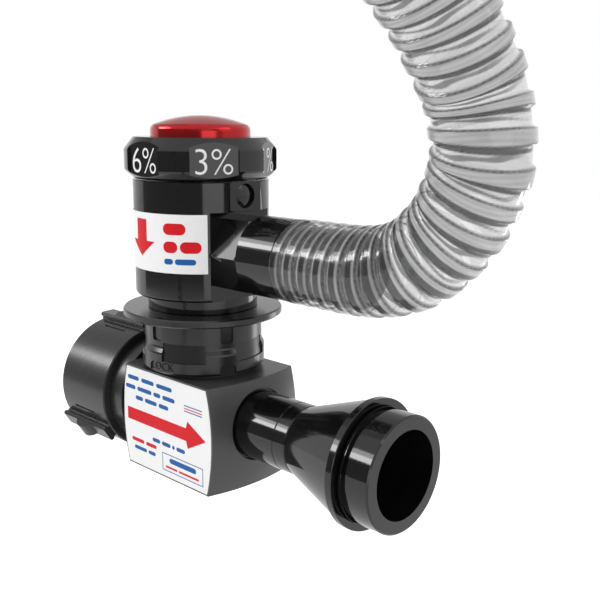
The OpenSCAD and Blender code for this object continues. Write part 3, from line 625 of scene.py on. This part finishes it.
# Points round the hose, spacing of its rings up to a length past what the photograph shows, and rings beyond that
HOSE_SIDES = 48
NEAR_LENGTH, NEAR_STEP, FAR_RINGS = 260, 0.3, 720
BORE_RINGS = 240
ROUTE_POINTS = 190
# Painted shade on a rib in mm: the shaded side's start below the rib, its end on it and its softness, and the thin
# painted dark line at its upper edge
DARK_START, DARK_TIGHT, DARK_LOOSE, DARK_SOFT = (1.9, 1.4), 0.3, 0.9, 0.3
THIN_INSET, THIN_RUN = 0.15, (0.1, 0.8)
# Run of the painted shadow line at the cut end, of the tail's fading under the wall, and of the painted glint in a
# valley over the tail
CUT_SHADOW_RUN, TAIL_FADES, VALLEY_GLINT_RUN = (0.6, 1.2), 16, (0.35, 0.85)
# Painted refraction streaks in the valleys: run of their edge, where round the hose, in turns, they are painted broader
# and darker, and how much broader
STREAK_RUN, BROAD_AT, BROAD_RUN, BROAD_GAIN = (0.2, 0.7), 0.42, (0.1, 0.26), 0.35
# Milk, from 0, clear, to 1, of the wall, a rib, the painted glint in a valley over the tail, a painted shade line, a
# painted refraction streak and the painted shadow at the cut end
WALL_MILK, RIB_MILK, VALLEY_GLINT_MILK, LINE_MILK, STREAK_MILK, CUT_SHADOW_MILK = 0.04, 0.66, 0.45, 0.92, 0.78, 0.95
# What the dark tail under the wall takes from the wall, a rib and a painted shade line
TAIL_ON_WALL, TAIL_ON_RIB, TAIL_ON_LINE = 0.7, 0.44, 0.5
# Darkness of a rib's top, of the drawn lines on it, which are DRAWN_MM apart, and of a painted refraction streak
TOP_DARK, DRAWN_DARK, DRAWN_MM, STREAK_DARK = 0.56, 0.08, 1.7, 0.9


def ramp(x, low, high):
    """Smooth step from 0 at low to 1 at high."""
    u = np.clip((x - low) / (high - low), 0, 1)
    return u * u * (3 - 2 * u)


def wave(turns):
    """Sine of a number of turns."""
    return np.sin(2 * np.pi * turns)


def hose_helix(s, angle):
    """Helix at lengths s and angles in turns: its pitch, a rib's half width, the turns made, and the distance
    across the rib from its middle, (turns + angle, less whole turns, - 0.5) * pitch."""
    pitch = RIB_PITCH + PITCH_GAIN * ramp(s, *PITCH_OPENS)
    half = pitch * (RIB_SHARE - BEND_LOSS * ramp(s, *BEND_NARROWS) - FAR_LOSS * ramp(s, *FAR_NARROWS))
    turns = np.concatenate([[0], np.cumsum(np.diff(s) / pitch[1:])]) + FIRST_TURN
    pitch, half, turns = pitch[:, None], half[:, None], turns[:, None]
    return pitch, half, turns, ((turns + angle) % 1 - 0.5) * pitch


def hose_tones(s, angle, pitch, half, turns, across, rib):
    """How milky and how dark the wall is at each point: the greatest of its ribs, painted shade lines, painted
    refraction streaks and the painted shadow at the cut end, with a painted glint in the valleys over the tail.
    """
    # Painted shade: the shaded side of a rib covers most of it where the hose is tight at the nipple, and then only its
    # lower flank
    tight, loose = DARK_TIGHT * half, DARK_LOOSE - half
    edge = loose + (tight - loose) * (1 - ramp(s, *DARK_SHRINKS))[:, None]
    below, start = (-half - d for d in DARK_START)
    dark = ramp(across, below, start) * (1 - ramp(across, edge - DARK_SOFT, edge + DARK_SOFT))
    # Painted shade lines: the shaded side, and a thin painted dark line along each rib's upper edge
    lines = np.maximum(dark, 1 - ramp(np.abs(across - half + THIN_INSET), *THIN_RUN))
    # Painted shadow in a narrow ring at the cut end, against the nipple's shoulder
    cut_shadow = (1 - ramp(s, *CUT_SHADOW_RUN))[:, None]
    tail = (1 - ramp(s, TAIL_FADES, TAIL_LENGTH + TAIL_EASE))[:, None]
    # Painted glint: a pale line along the middle of each valley over the tail
    valley_glint = 1 - ramp(pitch / 2 - np.abs(across), *VALLEY_GLINT_RUN)
    # Painted refraction: a wavy grey streak along the middle of each valley stands in for the thick wall bending what
    # is behind
    # it: two waves of 3 and 7 to a turn that shift from one valley to the next
    middle = ((turns + angle + 0.5) % 1 - 0.5) * pitch
    sway = 0.6 * wave(3 * angle + 0.37 * turns) + 0.35 * wave(7 * angle + 1.3 * turns)
    # The painted refraction streaks are broader and darker on one side of the hose
    broad = 1 - ramp(np.abs(angle - BROAD_AT), *BROAD_RUN)
    streak = (1 - ramp(np.abs(middle - sway) - BROAD_GAIN * broad, *STREAK_RUN)) * (1 - tail) * (0.45 + 0.55 * broad)
    # Fine drawn lines along the grey rib tops
    drawn = wave(across / DRAWN_MM + 0.5 * wave(2 * angle + 0.21 * turns))
    top = rib * (TOP_DARK + DRAWN_DARK * drawn) * (1 - tail)
    wall = WALL_MILK * (1 - TAIL_ON_WALL * tail) + rib * (RIB_MILK - TAIL_ON_RIB * tail) + VALLEY_GLINT_MILK * tail * valley_glint
    milk_and_painted_light = [wall, LINE_MILK * lines * (1 - TAIL_ON_LINE * tail), STREAK_MILK * streak, CUT_SHADOW_MILK * cut_shadow + 0 * rib]
    grey_and_painted_shade = [lines * (1 - tail * valley_glint), STREAK_DARK * streak, top, cut_shadow + 0 * rib]
    return np.max(milk_and_painted_light, axis=0), np.max(grey_and_painted_shade, axis=0)


def make_hose():
    """Clear hose: valley radius plus a flat-topped rib along a helix whose pitch opens from the nipple, and a bore."""
    line, length = smooth_line(HOSE_ROUTE)
    line = line + [HEAD_X, 0, 0]
    s = np.concatenate([np.arange(0, NEAR_LENGTH, NEAR_STEP), np.linspace(NEAR_LENGTH, length[-1], FAR_RINGS)])
    angle = np.linspace(0, 1, HOSE_SIDES, endpoint=False)
    pitch, half, turns, across = hose_helix(s, angle)
    rib = 1 - ramp(np.abs(across), half - FLANK_RUN, half + FLANK_RUN)
    milk_and_painted_light, grey_and_painted_shade = hose_tones(s, angle, pitch, half, turns, across, rib)
    outer = tube_points(at_stations(line, length, s), HOSE_VALLEY + HOSE_RIB * rib, HOSE_LEAN)
    bore_s = np.linspace(0, length[-1], BORE_RINGS)
    bore = HOSE_BORE + TAIL_STRETCH * (1 - ramp(bore_s, TAIL_LENGTH, TAIL_LENGTH + TAIL_EASE))
    inner = tube_points(at_stations(line, length, bore_s), np.repeat(bore[:, None], HOSE_SIDES, 1), HOSE_LEAN)
    # Two walls, the inner one turned to face the bore, and a ring of faces at each end
    count = len(s) * HOSE_SIDES
    k = np.arange(HOSE_SIDES)
    n = (k + 1) % HOSE_SIDES
    last, inner_last = (len(s) - 1) * HOSE_SIDES, count + (BORE_RINGS - 1) * HOSE_SIDES
    near = np.stack([k, count + k, count + n, n], -1)
    far = np.stack([last + k, last + n, inner_last + n, inner_last + k], -1)
    faces = [quads(len(s), HOSE_SIDES, True), quads(BORE_RINGS, HOSE_SIDES, True)[:, ::-1] + count, near, far]
    hose = new_piece("clear_hose", np.concatenate([outer.reshape(-1, 3), inner.reshape(-1, 3)]),
                     np.concatenate(faces), pvc_clear)
    hose.data.materials.append(pvc_bore)
    inside = np.repeat([0, 1, 0], [len(faces[0]), len(faces[1]), len(near) + len(far)])
    hose.data.polygons.foreach_set("material_index", inside.astype(np.int32))
    for name, shade in (("milk_and_painted_light", milk_and_painted_light), ("grey_and_painted_shade", grey_and_painted_shade)):
        values = np.concatenate([shade.ravel(), np.zeros(BORE_RINGS * HOSE_SIDES)])
        hose.data.attributes.new(name, "FLOAT", "POINT").data.foreach_set("value", values.astype(np.float32))
    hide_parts("pickup_hose")
    on_part(hose, "head")
    route = at_stations(line, length, np.linspace(0, length[-1], ROUTE_POINTS)) * MM


make_hose()

# Studio

FLOOR = -463
FLOOR_REACH = 6000
# Glow of the floor for other rays, and for the camera and what is seen through clear plastic
FLOOR_GLOW = 0.4, 0.75
FLAG_ROWS, FLAG_COLUMNS = 9, 25


def pale_floor():
    """Pale studio floor under the wand: diffuse white that the camera sees a little brighter than it is lit."""
    made, tree, out, _ = material("pale_floor_paper")
    show(tree, out, node(tree, "ShaderNodeBsdfPrincipled", {
        "Base Color": linear("#f4f4f4"), "Roughness": 0.9, "Specular IOR Level": 0.0, "Emission Color": (1, 1, 1, 1),
        "Emission Strength": span(tree, seen_directly(tree, "Is Transmission Ray"), *FLOOR_GLOW)}))
    corners = [(x * FLOOR_REACH, y * FLOOR_REACH, FLOOR) for x, y in ((-1, -1), (1, -1), (1, 1), (-1, 1))]
    new_piece("floor", corners, [(0, 1, 2, 3)], made, smooth=False)


def grey_card(name, level):
    """Dull grey card: an even tone, so that black gloss keeps dark fields between its highlights."""
    made, tree, out, _ = material(name + "_card")
    show(tree, out, node(tree, "ShaderNodeEmission", {"Color": (1, 1, 1, 1), "Strength": level}))
    return made


def grey_flag(name, azimuth, height, distance, level):
    """Curved grey card that only reflections see: a patch of a sphere about the object, in degrees."""
    a, h = np.meshgrid(np.linspace(*azimuth, FLAG_COLUMNS), np.linspace(*height, FLAG_ROWS))
    points = (MIDDLE + distance * towards(a, h)).reshape(-1, 3) / MM
    flag = new_piece(name, points, quads(FLAG_ROWS, FLAG_COLUMNS, False), grey_card(name, level))
    for ray in ("camera", "diffuse", "transmission", "shadow", "volume_scatter"):
        setattr(flag, "visible_" + ray, False)


pale_floor()
grey_flag("left_flag", (-152, -39), (-10.5, 18), 1.4, 0.25)
grey_flag("back_flag", (105, 205), (19, 75), 1.4, 0.6)
